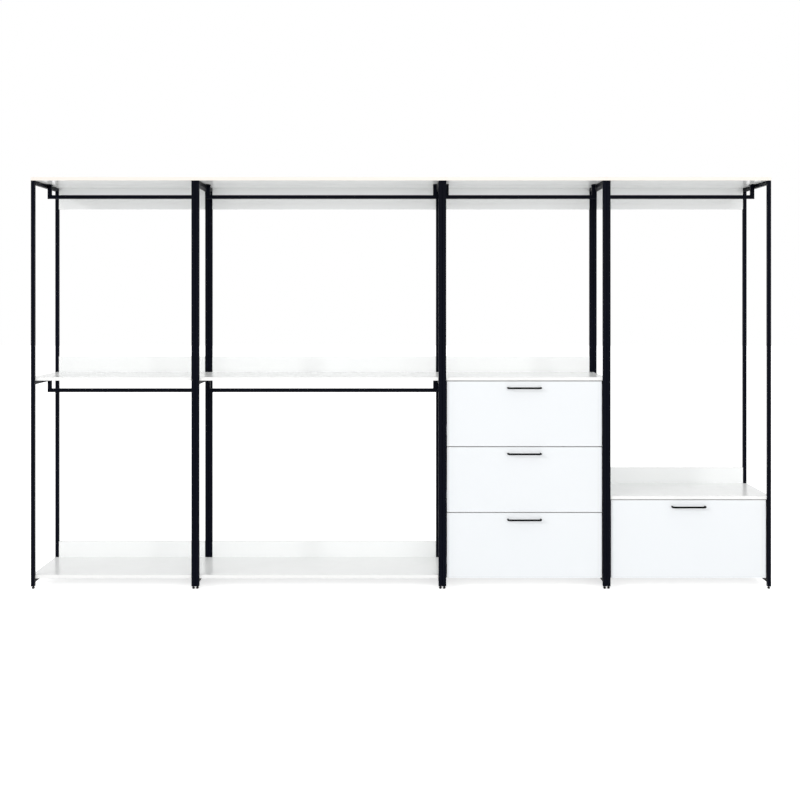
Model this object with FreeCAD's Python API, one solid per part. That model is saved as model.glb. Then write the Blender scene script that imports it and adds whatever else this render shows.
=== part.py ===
import FreeCAD, Part
import math
import os

# Freestanding closet system: four open steel bays side by side. From the left they are a narrow
# double hanging bay, a wide double hanging bay, a bay with a chest of three drawers under one
# rod, and a long hanging bay over one tall drawer. All lengths are millimetres, +Z is up, the
# fronts face -Y, and the origin is at floor level in the middle of the overall width and depth.

# Overall sizes
overall_height = 2140.0
frame_depth = 445.0
narrow_bay_width = 854.0
wide_bay_width = 1284.0

# Square steel tube of the side frames
tube_size = 20.0
tube_wall = 1.5
tube_corner_radius = 2.5

# Coated boards: shelves, back boards, cases and drawer fronts
board_thickness = 18.0
board_edge_bevel = 0.8
board_fit_clearance = 0.3
shelf_setback = 10.0

# Heights of the shelf tops above the floor
middle_shelf_height = 1100.0
low_shelf_height = 482.0
bottom_shelf_height = 71.0

# Back boards between the rear posts
back_board_height = 118.0
back_board_rise = 87.0

# Hanging rods: square tube mitred into a wide U, with a fixing plate welded on either end
rod_size = 20.0
rod_wall = 1.5
rod_corner_radius = 2.5
rod_drop = 67.0
rod_leg_clearance = 2.0
rod_plate_length = 62.0
rod_plate_width = 20.0
rod_plate_thickness = 3.0
rod_plate_corner_radius = 6.0

# Levelling feet: a plastic end cap in each post and a screw-in glide
foot_height = 16.0
cap_flange_thickness = 3.0
cap_flange_bevel = 1.2
cap_plug_height = 16.0
cap_fit_clearance = 0.2
glide_base_diameter = 10.0
glide_pad_diameter = 15.0
glide_pad_height = 8.0
glide_taper_height = 4.5
glide_stem_diameter = 8.0
glide_stem_clearance = 0.15
glide_stem_top_gap = 2.0

# Drawer case between the posts of the drawer bays
case_back_thickness = 12.0

# Drawer fronts
front_setback = 12.0
front_gap = 4.0
front_side_gap = 4.0
front_bottom_reveal = 2.0
front_edge_bevel = 1.0

# Drawer boxes behind the fronts
box_board_thickness = 12.0
box_bottom_thickness = 6.0
box_groove_depth = 5.0
box_groove_height = 12.0
box_groove_clearance = 0.2
box_floor_offset = 24.0
box_top_offset = 30.0
box_rear_gap = 6.0

# Bow handles bent from round bar
handle_length = 180.0
handle_projection = 30.0
handle_bar_diameter = 9.5
handle_bend_radius = 11.0
handle_drop = 34.0

# Telescopic runners: three nested channels on each side of a drawer
runner_space = 12.7
runner_height = 45.0
runner_sheet = 1.2
runner_track_gap = 3.7
runner_lip_clearance = 0.4
runner_inner_lip = 2.0
runner_fixed_reach = 9.5
runner_inner_reach = 7.9
runner_web_gap = 1.2
runner_tip_gap = 0.2
runner_front_gap = 1.0
runner_rear_gap = 2.0
runner_centre_height = 62.0

# Flats that stand for round forms, few enough to keep the repeated pieces light
bar_sides = 16
foot_sides = 12
bend_steps = 4
corner_steps = 3

# Places worked out from the sizes above
total_width = wide_bay_width + narrow_bay_width + narrow_bay_width + narrow_bay_width
handle_reach = handle_projection - front_setback
frame_front = (handle_reach - frame_depth) / 2
frame_back = frame_front + frame_depth
front_post_back = frame_front + tube_size
rear_post_front = frame_back - tube_size
back_board_front = frame_back - board_thickness
shelf_front = frame_front + shelf_setback
front_face = frame_front + front_setback
front_inside = front_face + board_thickness
top_shelf_underside = overall_height - board_thickness
rod_centre_y = frame_front + frame_depth / 2

X_AXIS = FreeCAD.Vector(1, 0, 0)
Y_AXIS = FreeCAD.Vector(0, 1, 0)
Z_AXIS = FreeCAD.Vector(0, 0, 1)
QUADRANTS = ((1, 1), (-1, 1), (-1, -1), (1, -1))


def save(name, shape):
    """Write one node as a STEP file named after it."""
    shape.exportStep(os.path.join("parts", name + ".step"))


def block(low, high):
    """Plain box between two opposite corners."""
    return Part.makeBox(high[0] - low[0], high[1] - low[1], high[2] - low[2], FreeCAD.Vector(*low))


def board(low, high, bevel):
    """Box with every edge bevelled, as an edge-banded board."""
    plain = block(low, high)
    return plain.makeChamfer(bevel, plain.Edges)


def closed_wire(points):
    """Closed wire through the points in order."""
    return Part.makePolygon(points + points[:1])


def circle_point(centre, across, up, radius, turn):
    """Point of a circle in the plane of two unit vectors, at an angle from the first."""
    return centre + across * (radius * math.cos(turn)) + up * (radius * math.sin(turn))


def ring(centre, across, up, radius, sides):
    """Closed wire of a regular polygon in the plane of two unit vectors."""
    turns = [math.tau * index / sides for index in range(sides)]
    return closed_wire([circle_point(centre, across, up, radius, turn) for turn in turns])


def rectangle(centre, across, up, width, height):
    """Face of a rectangle in the plane of two unit vectors."""
    points = [centre + across * (side * width / 2) + up * (level * height / 2) for side, level in QUADRANTS]
    return Part.Face(closed_wire(points))


def rounded_rectangle(centre, across, up, width, height, radius):
    """Face of a rectangle with round corners, in the plane of two unit vectors."""
    points = []
    for quarter, (side, level) in enumerate(QUADRANTS):
        corner = centre + across * (side * (width / 2 - radius)) + up * (level * (height / 2 - radius))
        for step in range(corner_steps + 1):
            turn = (quarter + step / corner_steps) * math.pi / 2
            points.append(circle_point(corner, across, up, radius, turn))
    return Part.Face(closed_wire(points))


def square_tube(start, across, up, run):
    """Hollow square tube whose centre line leaves start along the vector run."""
    bore_size = tube_size - 2 * tube_wall
    outside = rounded_rectangle(start, across, up, tube_size, tube_size, tube_corner_radius)
    bore = rectangle(start, across, up, bore_size, bore_size)
    return outside.extrude(run).cut(bore.extrude(run))


def bent_sections(points, bend_radius, radius):
    """Sections of a round bar along a flat path that turns one way at rounded corners."""
    incoming = (points[1] - points[0]).normalize()
    normal = incoming.cross(points[2] - points[1]).normalize()
    sections = [ring(points[0], normal, incoming.cross(normal), radius, bar_sides)]
    for corner, after in zip(points[1:], points[2:]):
        outgoing = (after - corner).normalize()
        turn = incoming.getAngle(outgoing)
        inward = (outgoing - incoming).normalize()
        centre = corner + inward * (bend_radius / math.cos(turn / 2))
        outward = incoming.cross(normal)
        for step in range(bend_steps + 1):
            swing = FreeCAD.Rotation(normal, math.degrees(turn) * step / bend_steps)
            spoke = swing.multVec(outward)
            sections.append(ring(centre + spoke * bend_radius, normal, spoke, radius, bar_sides))
        incoming = outgoing
    sections.append(ring(points[-1], normal, incoming.cross(normal), radius, bar_sides))
    return sections


def bent_bar(points, bend_radius, radius):
    """Solid round bar along a bent path, as one ruled loft through its sections."""
    return Part.makeLoft(bent_sections(points, bend_radius, radius), True, True)


def mitred_loft(face_at, points):
    """Solid along a flat path that turns one way at mitred corners.

    face_at gives the face of a section from its centre and two axes. The second axis points
    out of the turn and is stretched at a mitre.
    """
    incoming = (points[1] - points[0]).normalize()
    normal = incoming.cross(points[2] - points[1]).normalize()
    faces = [face_at(points[0], normal, incoming.cross(normal))]
    for corner, after in zip(points[1:], points[2:]):
        outgoing = (after - corner).normalize()
        stretch = 1 / math.cos(incoming.getAngle(outgoing) / 2)
        faces.append(face_at(corner, normal, (incoming - outgoing).normalize() * stretch))
        incoming = outgoing
    faces.append(face_at(points[-1], normal, incoming.cross(normal)))
    return Part.makeLoft([face.OuterWire for face in faces], True, True)


def rod_outside(centre, across, up):
    """Face of the rod's outline."""
    return rounded_rectangle(centre, across, up, rod_size, rod_size, rod_corner_radius)


def rod_bore(centre, across, up):
    """Face of the rod's hollow."""
    bore_size = rod_size - 2 * rod_wall
    return rectangle(centre, across, up, bore_size, bore_size)


def rail_levels(bay):
    """Centre heights of the rails of a bay's side frames, each under its shelf."""
    tops = (bay["bottom"], bay["shelf"], overall_height)
    return [top - board_thickness - tube_size / 2 for top in tops]


def side_frame(bay, outer_x, inward):
    """Front post, rear post and three rails of one side frame, meeting face to face."""
    centre_x = outer_x + inward * tube_size / 2
    post_run = Z_AXIS * (top_shelf_underside - foot_height)
    rail_run = Y_AXIS * (rear_post_front - front_post_back)
    tubes = []
    for face_y in (frame_front, rear_post_front):
        foot_end = FreeCAD.Vector(centre_x, face_y + tube_size / 2, foot_height)
        tubes.append(square_tube(foot_end, X_AXIS, Y_AXIS, post_run))
    for level in rail_levels(bay):
        front_end = FreeCAD.Vector(centre_x, front_post_back, level)
        tubes.append(square_tube(front_end, X_AXIS, Z_AXIS, rail_run))
    return Part.makeCompound(tubes)


def top_shelf(bay):
    """Shelf that lies on the posts and top rails, out to their outer faces."""
    low = (bay["left"], frame_front, top_shelf_underside)
    high = (bay["right"], frame_back, overall_height)
    return board(low, high, board_edge_bevel)


def notched_shelf(bay, top, front):
    """Shelf on the side rails, cut out round the posts that its corners meet."""
    left = bay["left"] + board_fit_clearance
    right = bay["right"] - board_fit_clearance
    back = back_board_front - board_fit_clearance
    underside = top - board_thickness
    shelf = block((left, front, underside), (right, back, top))
    cut = tube_size + board_fit_clearance
    for post_front in (frame_front, rear_post_front):
        for post_left in (bay["left"], bay["right"] - cut):
            low = (post_left, post_front - board_fit_clearance, underside)
            high = (post_left + cut, post_front + cut, top)
            shelf = shelf.cut(block(low, high))
    upright_share = 0.5
    rims = [edge for edge in shelf.Edges if abs(edge.tangentAt(edge.FirstParameter).z) < upright_share]
    return shelf.makeChamfer(board_edge_bevel, rims)


def back_board(bay, top):
    """Board between the rear posts, flush with their rear faces."""
    low = (bay["left"] + tube_size + board_fit_clearance, back_board_front, top - back_board_height)
    high = (bay["right"] - tube_size - board_fit_clearance, frame_back, top)
    return board(low, high, board_edge_bevel)


def back_boards(bay):
    """Back boards of a bay: one under the top shelf and an upstand at each open shelf."""
    tops = [top_shelf_underside, bay["shelf"] + back_board_rise]
    if not bay["drawers"]:
        tops.append(bay["bottom"] + back_board_rise)
    return Part.makeCompound([back_board(bay, top) for top in tops])


def hanging_rod(bay, shelf_underside):
    """Tube turned up at both ends to plates that screw to the shelf above."""
    inset = tube_size + rod_leg_clearance + rod_size / 2
    left = bay["left"] + inset
    right = bay["right"] - inset
    leg_top = shelf_underside - rod_plate_thickness
    level = shelf_underside - rod_drop
    points = [
        FreeCAD.Vector(left, rod_centre_y, leg_top),
        FreeCAD.Vector(left, rod_centre_y, level),
        FreeCAD.Vector(right, rod_centre_y, level),
        FreeCAD.Vector(right, rod_centre_y, leg_top),
    ]
    rod = mitred_loft(rod_outside, points).cut(mitred_loft(rod_bore, points))
    for plate_centre in (points[0], points[-1]):
        plate = rounded_rectangle(
            plate_centre, X_AXIS, Y_AXIS, rod_plate_width, rod_plate_length, rod_plate_corner_radius
        )
        rod = rod.fuse(plate.extrude(Z_AXIS * rod_plate_thickness))
    return rod.removeSplitter()


def foot_cap(axis_foot, plug_top, stem_top):
    """End cap of a post: a bevelled flange under the tube and a bored plug inside it."""
    flange_low = foot_height - cap_flange_thickness
    half = tube_size / 2
    plug_half = half - tube_wall - cap_fit_clearance
    x, y = axis_foot.x, axis_foot.y
    flange = block((x - half, y - half, flange_low), (x + half, y + half, foot_height))
    lower_edges = [edge for edge in flange.Edges if edge.BoundBox.ZMax < foot_height - cap_flange_bevel]
    flange = flange.makeChamfer(cap_flange_bevel, lower_edges)
    plug = block((x - plug_half, y - plug_half, foot_height), (x + plug_half, y + plug_half, plug_top))
    bore_radius = glide_stem_diameter / 2 + glide_stem_clearance
    bore = Part.Face(ring(axis_foot + Z_AXIS * flange_low, X_AXIS, Y_AXIS, bore_radius, foot_sides))
    bore_depth = stem_top + glide_stem_clearance - flange_low
    return flange.fuse(plug).cut(bore.extrude(Z_AXIS * bore_depth))


def foot_glide(axis_foot, stem_top):
    """Tapered pad on the floor, with the stem that screws into the cap."""
    pad_rings = (
        (glide_base_diameter, 0.0),
        (glide_pad_diameter, glide_taper_height),
        (glide_pad_diameter, glide_pad_height),
    )
    sections = [
        ring(axis_foot + Z_AXIS * height, X_AXIS, Y_AXIS, diameter / 2, foot_sides)
        for diameter, height in pad_rings
    ]
    pad = Part.makeLoft(sections, True, True)
    stem_foot = axis_foot + Z_AXIS * glide_pad_height
    stem = Part.Face(ring(stem_foot, X_AXIS, Y_AXIS, glide_stem_diameter / 2, foot_sides))
    return pad.fuse(stem.extrude(Z_AXIS * (stem_top - glide_pad_height)))


def feet(bay):
    """Four levelling feet of one bay, one under each post."""
    plug_top = foot_height + cap_plug_height
    stem_top = plug_top - glide_stem_top_gap
    solids = []
    for centre_x in (bay["left"] + tube_size / 2, bay["right"] - tube_size / 2):
        for centre_y in (frame_front + tube_size / 2, frame_back - tube_size / 2):
            axis_foot = FreeCAD.Vector(centre_x, centre_y, 0)
            solids.append(foot_cap(axis_foot, plug_top, stem_top))
            solids.append(foot_glide(axis_foot, stem_top))
    return Part.makeCompound(solids)


def case_sides(bay):
    """Infill boards that close the side frames beside the drawers, flush with the tubes inside."""
    front = front_post_back + board_fit_clearance
    back = rear_post_front - board_fit_clearance
    low_z = bay["bottom"] + board_fit_clearance
    high_z = bay["shelf"] - board_thickness - tube_size - board_fit_clearance
    boards = []
    for low_x in (bay["left"] + tube_size - board_thickness, bay["right"] - tube_size):
        high_x = low_x + board_thickness
        boards.append(board((low_x, front, low_z), (high_x, back, high_z), board_edge_bevel))
    return Part.makeCompound(boards)


def case_back(bay):
    """Thin back of the drawer case, between the rear posts and under the upstand."""
    side_gap = tube_size + board_fit_clearance
    low_z = bay["bottom"] - board_thickness
    high_z = bay["shelf"] + back_board_rise - back_board_height - board_fit_clearance
    low = (bay["left"] + side_gap, back_board_front, low_z)
    high = (bay["right"] - side_gap, back_board_front + case_back_thickness, high_z)
    return board(low, high, board_edge_bevel)


def front_levels(bay):
    """Lower and upper edge of each drawer front of a bay, from the top down."""
    highest = bay["shelf"] - board_thickness - front_gap
    lowest = bay["bottom"] - board_thickness + front_bottom_reveal
    count = len(bay["drawers"])
    height = (highest - lowest - front_gap * (count - 1)) / count
    tops = [highest - index * (height + front_gap) for index in range(count)]
    return [(top - height, top) for top in tops]


def drawer_front(bay, low_z, high_z):
    """Inset front that fills the width between the posts."""
    low = (bay["left"] + tube_size + front_side_gap, front_face, low_z)
    high = (bay["right"] - tube_size - front_side_gap, front_inside, high_z)
    return board(low, high, front_edge_bevel)


def drawer_handle(bay, high_z):
    """Bow handle near the top edge of a front, centred on the bay."""
    centre_x = (bay["left"] + bay["right"]) / 2
    level = high_z - handle_drop
    bar_radius = handle_bar_diameter / 2
    reach = handle_length / 2 - bar_radius
    grip_y = front_face - handle_projection + bar_radius
    points = [
        FreeCAD.Vector(centre_x - reach, front_face, level),
        FreeCAD.Vector(centre_x - reach, grip_y, level),
        FreeCAD.Vector(centre_x + reach, grip_y, level),
        FreeCAD.Vector(centre_x + reach, front_face, level),
    ]
    return bent_bar(points, handle_bend_radius, bar_radius)


def drawer_box(bay, low_z, high_z):
    """Two sides, an inner front, a back and a bottom panel let into grooves all round."""
    left = bay["left"] + tube_size + runner_space
    right = bay["right"] - tube_size - runner_space
    back = back_board_front - box_rear_gap
    floor = low_z + box_floor_offset
    rim = high_z - box_top_offset
    inner_left = left + box_board_thickness
    inner_right = right - box_board_thickness
    inner_front = front_inside + box_board_thickness
    inner_back = back - box_board_thickness
    panel_low = floor + box_groove_height
    panel_high = panel_low + box_bottom_thickness
    panel = block(
        (inner_left - box_groove_depth, inner_front - box_groove_depth, panel_low),
        (inner_right + box_groove_depth, inner_back + box_groove_depth, panel_high),
    )
    let_in = box_groove_depth + box_groove_clearance
    groove = block(
        (inner_left - let_in, inner_front - let_in, panel_low - box_groove_clearance),
        (inner_right + let_in, inner_back + let_in, panel_high + box_groove_clearance),
    )
    walls = [
        block((left, front_inside, floor), (inner_left, back, rim)),
        block((inner_right, front_inside, floor), (right, back, rim)),
        block((inner_left, front_inside, floor), (inner_right, inner_front, rim)),
        block((inner_left, inner_back, floor), (inner_right, back, rim)),
    ]
    return Part.makeCompound([wall.cut(groove) for wall in walls] + [panel])


def channel(web_x, tip_x, height, lip):
    """Outline in X and Z of a sheet channel, from its web to flanges with turned-in lips."""
    half = height / 2
    sheet = math.copysign(runner_sheet, tip_x - web_x)
    upper = [
        (web_x, half),
        (tip_x, half),
        (tip_x, half - runner_sheet - lip),
        (tip_x - sheet, half - runner_sheet - lip),
        (tip_x - sheet, half - runner_sheet),
        (web_x + sheet, half - runner_sheet),
    ]
    return upper + [(x, -z) for x, z in reversed(upper)]


def runner_pair(bay, level, outline):
    """The same runner channel against the left and the right side of a bay."""
    start_y = front_inside + runner_front_gap
    run = Y_AXIS * (back_board_front - runner_rear_gap - start_y)
    members = []
    for wall_x, inward in ((bay["left"] + tube_size, 1), (bay["right"] - tube_size, -1)):
        corners = [FreeCAD.Vector(wall_x + inward * x, start_y, level + z) for x, z in outline]
        members.append(Part.Face(closed_wire(corners)).extrude(run))
    return members


def runner_outlines():
    """Outlines of the fixed, middle and inner channels, nested with running clearance."""
    nesting = 2 * (runner_sheet + runner_track_gap)
    lip = runner_track_gap - runner_lip_clearance
    middle_web = runner_sheet + runner_web_gap
    middle_tip = runner_space - runner_sheet - runner_tip_gap
    middle_height = runner_height - nesting
    inner_tip = runner_space - runner_inner_reach
    fixed = channel(0.0, runner_fixed_reach, runner_height, lip)
    middle = channel(middle_web, middle_tip, middle_height, lip)
    inner = channel(runner_space, inner_tip, middle_height - nesting, runner_inner_lip)
    return fixed, middle, inner


def build_drawers(bay):
    """Every drawer of a bay with its runners, and the case round them."""
    fixed_outline, middle_outline, inner_outline = runner_outlines()
    fixed = []
    for name, (low_z, high_z) in zip(bay["drawers"], front_levels(bay)):
        level = low_z + box_floor_offset + runner_centre_height
        save(name + "_front", drawer_front(bay, low_z, high_z))
        save(name + "_handle", drawer_handle(bay, high_z))
        save(name + "_box", drawer_box(bay, low_z, high_z))
        save(name + "_inner_runners", Part.makeCompound(runner_pair(bay, level, inner_outline)))
        save(name + "_middle_runners", Part.makeCompound(runner_pair(bay, level, middle_outline)))
        fixed.extend(runner_pair(bay, level, fixed_outline))
    save(bay["name"] + "_fixed_runners", Part.makeCompound(fixed))
    save(bay["name"] + "_case_sides", case_sides(bay))
    save(bay["name"] + "_case_back", case_back(bay))


def build_bay(bay):
    """Every node of one bay."""
    name = bay["name"]
    save(name + "_left_frame", side_frame(bay, bay["left"], 1))
    save(name + "_right_frame", side_frame(bay, bay["right"], -1))
    save(name + "_feet", feet(bay))
    save(name + "_top_shelf", top_shelf(bay))
    save(name + "_" + bay["shelf_name"], notched_shelf(bay, bay["shelf"], shelf_front))
    bottom_front = front_inside + board_fit_clearance if bay["drawers"] else shelf_front
    save(name + "_bottom_shelf", notched_shelf(bay, bay["bottom"], bottom_front))
    save(name + "_back_boards", back_boards(bay))
    for rod_name, shelf_top in bay["rods"]:
        save(name + "_" + rod_name, hanging_rod(bay, shelf_top - board_thickness))
    if bay["drawers"]:
        build_drawers(bay)


def bays():
    """The four bays from left to right, each with its place and its fittings."""
    both_rods = (("upper_rod", overall_height), ("lower_rod", middle_shelf_height))
    one_rod = (("rod", overall_height),)
    chest_drawers = ("top_drawer", "middle_drawer", "bottom_drawer")
    layouts = (
        ("narrow_hang", narrow_bay_width, "middle_shelf", middle_shelf_height, both_rods, ()),
        ("wide_hang", wide_bay_width, "middle_shelf", middle_shelf_height, both_rods, ()),
        ("chest", narrow_bay_width, "middle_shelf", middle_shelf_height, one_rod, chest_drawers),
        ("long_hang", narrow_bay_width, "low_shelf", low_shelf_height, one_rod, ("tall_drawer",)),
    )
    placed = []
    left = -total_width / 2
    for name, width, shelf_name, shelf, rods, drawers in layouts:
        bay = {
            "name": name,
            "left": left,
            "right": left + width,
            "shelf_name": shelf_name,
            "shelf": shelf,
            "bottom": bottom_shelf_height,
            "rods": rods,
            "drawers": drawers,
        }
        placed.append(bay)
        left = left + width
    return placed


os.makedirs("parts", exist_ok=True)
for closet_bay in bays():
    build_bay(closet_bay)
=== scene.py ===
import logging
import math
from dataclasses import dataclass, field
from enum import Enum
from functools import cache
from typing import Sequence

import bmesh
import bpy
from bpy.types import Material, Node, NodeSocket, NodeTree, Object
from mathutils import Matrix, Vector


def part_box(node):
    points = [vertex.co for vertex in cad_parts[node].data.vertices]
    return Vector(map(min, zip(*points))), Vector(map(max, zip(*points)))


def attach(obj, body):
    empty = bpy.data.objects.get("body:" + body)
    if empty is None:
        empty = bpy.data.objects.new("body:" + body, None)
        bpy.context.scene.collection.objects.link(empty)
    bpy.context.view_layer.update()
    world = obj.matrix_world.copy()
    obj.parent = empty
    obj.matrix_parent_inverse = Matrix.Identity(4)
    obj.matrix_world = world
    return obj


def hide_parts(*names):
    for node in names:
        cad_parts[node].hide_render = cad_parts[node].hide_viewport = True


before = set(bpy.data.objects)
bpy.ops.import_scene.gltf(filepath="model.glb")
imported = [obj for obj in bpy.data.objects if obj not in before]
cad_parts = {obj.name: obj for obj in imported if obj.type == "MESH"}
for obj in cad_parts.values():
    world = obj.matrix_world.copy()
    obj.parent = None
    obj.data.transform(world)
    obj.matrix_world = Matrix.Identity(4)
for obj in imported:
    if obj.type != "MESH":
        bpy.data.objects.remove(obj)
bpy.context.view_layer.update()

# Looks of a freestanding closet system: four open bays of black steel tube with white coated
# boards, hanging rods and four drawers. Lengths are metres, +Z is up and the fronts face -Y.
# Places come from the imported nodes, and the sizes below are those of the real pieces.

MM = 0.001
ORIGIN = Vector((0, 0, 0))
AXES = [Vector(axis) for axis in ((1, 0, 0), (0, 1, 0), (0, 0, 1))]
X_AXIS, Y_AXIS, Z_AXIS = AXES
CLOSET = "closet"
WHITE = (1.0, 1.0, 1.0, 1.0)

# Rounding of the long edges of all square tube
TUBE_CORNER = 2.5 * MM
TUBE_CORNER_STEPS = 5

# Edges that turn by more than these angles stay sharp or get a bevel, in degrees
CREASE = 40.0
SMALL_PART_CREASE = 35.0
BEVEL_FROM = 50.0

# Range of the noise over which a surface goes from its first value to its second
DRIFT_BAND = (0.35, 0.7)
SMEAR_BAND = (0.3, 0.75)

# Attributes that the trees of small parts leave on their meshes and nothing reads
SPARE_ATTRIBUTES = {"facing", "UVMap", "UV Map"}

Triple = tuple[float, float, float]
Outline = Sequence[Vector]
log = logging.getLogger(CLOSET)


class Slot(Enum):
    """Material slots of the record that the finishes belong to."""

    BOARD = "white_board"
    STEEL = "black_steel"
    RUNNER = "runner_steel"
    PLASTIC = "foot_plastic"


class Side(Enum):
    """Side of a bay, as its nodes name it."""

    LEFT = "left"
    RIGHT = "right"


@dataclass(frozen=True)
class Block:
    """Axis-aligned box between its lowest and highest corner."""

    low: Vector
    high: Vector

    @classmethod
    def of(cls, node: str) -> "Block":
        """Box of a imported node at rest."""
        return cls(*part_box(node))

    @classmethod
    def span(cls, *ranges: tuple[float, float]) -> "Block":
        """Box from its lowest and highest value along X, Y and Z."""
        return cls(*(Vector(corner) for corner in zip(*ranges)))

    @property
    def size(self) -> Vector:
        """Length of the box along each axis."""
        return self.high - self.low

    @property
    def middle(self) -> Vector:
        """Centre of the box."""
        return (self.low + self.high) / 2


@dataclass(frozen=True)
class Spot:
    """Place of a small part and the direction that it faces."""

    place: Vector
    facing: Vector


class Unit:
    """Bay or drawer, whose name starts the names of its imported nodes."""

    name: str

    def node(self, part: str) -> str:
        """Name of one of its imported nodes."""
        return f"{self.name}_{part}"

    def box(self, part: str) -> Block:
        """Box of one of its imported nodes."""
        return Block.of(self.node(part))


@dataclass(frozen=True)
class Bay(Unit):
    """One bay: its name, the shelf in its middle, its rods and its drawers."""

    name: str
    shelf: str
    rods: tuple[str, ...]
    drawers: tuple[str, ...] = ()


BAYS = (
    Bay("narrow_hang", "middle_shelf", ("upper_rod", "lower_rod")),
    Bay("wide_hang", "middle_shelf", ("upper_rod", "lower_rod")),
    Bay("chest", "middle_shelf", ("rod",), ("top_drawer", "middle_drawer", "bottom_drawer")),
    Bay("long_hang", "low_shelf", ("rod",), ("tall_drawer",)),
)


class Graph:
    """Shorthand for filling a shader or geometry node tree."""

    def __init__(self, tree: NodeTree) -> None:
        """Keep the tree that the nodes go into."""
        self.tree = tree

    @classmethod
    def of(cls, owner: bpy.types.ID) -> "Graph":
        """Take up the node tree of a material or world, emptied of its first nodes.

        Args:
            owner: The material or world.

        Returns:
            The graph of its tree.
        """
        owner.use_nodes = True
        owner.node_tree.nodes.clear()
        return cls(owner.node_tree)

    def feed(self, socket: NodeSocket, value: object) -> None:
        """Link a socket to another, or set its plain value.

        Args:
            socket: Input that takes the value.
            value: Another node's output, a plain value, or None to leave it alone.
        """
        if isinstance(value, NodeSocket):
            self.tree.links.new(value, socket)
        elif value is not None:
            socket.default_value = value

    def add(self, kind: str, *inputs: object, named: dict | None = None, **settings: object) -> Node:
        """Add a node.

        Args:
            kind: Blender's name of the node type.
            inputs: Values or outputs for the node's enabled inputs, in order.
            named: Values or outputs by the input's name.
            settings: Properties of the node, set before its inputs.

        Returns:
            The new node.
        """
        node = self.tree.nodes.new(kind)
        for key, value in settings.items():
            setattr(node, key, value)
        for socket, value in zip([s for s in node.inputs if s.enabled], inputs):
            self.feed(socket, value)
        for label, value in (named or {}).items():
            self.feed(node.inputs[label], value)
        return node

    def out(self, kind: str, *inputs: object, **options: object) -> NodeSocket:
        """Add a node as add does and return its first enabled output."""
        return next(socket for socket in self.add(kind, *inputs, **options).outputs if socket.enabled)

    def math(self, operation: str, *inputs: object) -> NodeSocket:
        """Add a Math node and return its result."""
        return self.out("ShaderNodeMath", *inputs, operation=operation)

    def effect(self, group: NodeTree, **values: object) -> NodeSocket:
        """Place a shared shader group and return its output."""
        return self.out("ShaderNodeGroup", named=values, node_tree=group)

    def seen_directly(self) -> NodeSocket:
        """Tell the rays that show a surface from those that only carry its light.

        Returns:
            1 for camera, mirror and glass rays, and 0 for all others.
        """
        path = self.tree.nodes.new("ShaderNodeLightPath").outputs
        seen = self.math("MAXIMUM", path["Is Camera Ray"], path["Is Glossy Ray"])
        return self.math("MAXIMUM", seen, path["Is Transmission Ray"])


class NodeGroup(Graph):
    """Node group with named inputs."""

    def __init__(self, name: str, kind: str, inputs: dict[str, object]) -> None:
        """Make an empty group.

        Args:
            name: Name of the group.
            kind: Blender's name of the tree type.
            inputs: Default number, colour or vector of each input by name, or its socket type.
        """
        super().__init__(bpy.data.node_groups.new(name, kind))
        for label, default in inputs.items():
            self.declare(label, default)
        self.source = self.tree.nodes.new("NodeGroupInput").outputs

    def declare(self, label: str, default: object) -> None:
        """Add an input.

        Args:
            label: Name of the input.
            default: Its default number, colour or vector, or the name of its socket type.
        """
        face = self.tree.interface
        if isinstance(default, str):
            face.new_socket(label, in_out="INPUT", socket_type=default)
            return
        kind = "Int" if isinstance(default, int) else "Float"
        if isinstance(default, tuple):
            kind = "Vector" if len(default) == len(AXES) else "Color"
        face.new_socket(label, in_out="INPUT", socket_type=f"NodeSocket{kind}").default_value = default

    def give(self, label: str, kind: str, value: NodeSocket) -> NodeTree:
        """Put a value out of the group and end it.

        Args:
            label: Name of the output.
            kind: Type of its socket.
            value: What it puts out.

        Returns:
            The finished tree.
        """
        self.tree.interface.new_socket(label, in_out="OUTPUT", socket_type=kind)
        self.add("NodeGroupOutput", value)
        return self.tree


class SurfaceGroup(NodeGroup):
    """Shader group whose pattern lies in object coordinates."""

    def __init__(self, name: str, **inputs: object) -> None:
        """Make an empty group with the defaults of its inputs."""
        super().__init__(name, "ShaderNodeTree", inputs)

    def noise(self, scale: NodeSocket, stretch: NodeSocket | None = None, **levels: float) -> NodeSocket:
        """Add noise in object coordinates.

        Args:
            scale: Patches per metre.
            stretch: Scale along each axis, or None for an even pattern.
            levels: Other levels of the noise by their names.

        Returns:
            The noise, from 0 to 1.
        """
        place = self.tree.nodes.new("ShaderNodeTexCoord").outputs["Object"]
        if stretch is not None:
            place = self.out("ShaderNodeMapping", named={"Vector": place, "Scale": stretch})
        return self.out("ShaderNodeTexNoise", named={"Vector": place, "Scale": scale, **levels})


@cache
def fine_relief() -> NodeTree:
    """Fine grain, as a height for a bump.

    Returns:
        Group with inputs Grain and Stretch and the output Height.
    """
    group = SurfaceGroup("fine_relief", Grain=900.0, Stretch=(1.0, 1.0, 1.0))
    noise = group.noise(group.source["Grain"], group.source["Stretch"], Detail=2.0, Roughness=0.55)
    return group.give("Height", "NodeSocketFloat", noise)


@cache
def tone_drift() -> NodeTree:
    """Slow drift between two tones over the surface.

    Returns:
        Group with inputs Tone, Shade and Patch and the output Color.
    """
    group = SurfaceGroup("tone_drift", Tone=WHITE, Shade=WHITE, Patch=2.0)
    noise = group.noise(group.source["Patch"], Detail=3.0)
    share = group.out("ShaderNodeMapRange", noise, *DRIFT_BAND, 0.0, 1.0)
    tones = (group.source["Tone"], group.source["Shade"])
    mixed = group.out("ShaderNodeMix", share, *tones, data_type="RGBA", clamp_factor=True)
    return group.give("Color", "NodeSocketColor", mixed)


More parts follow.
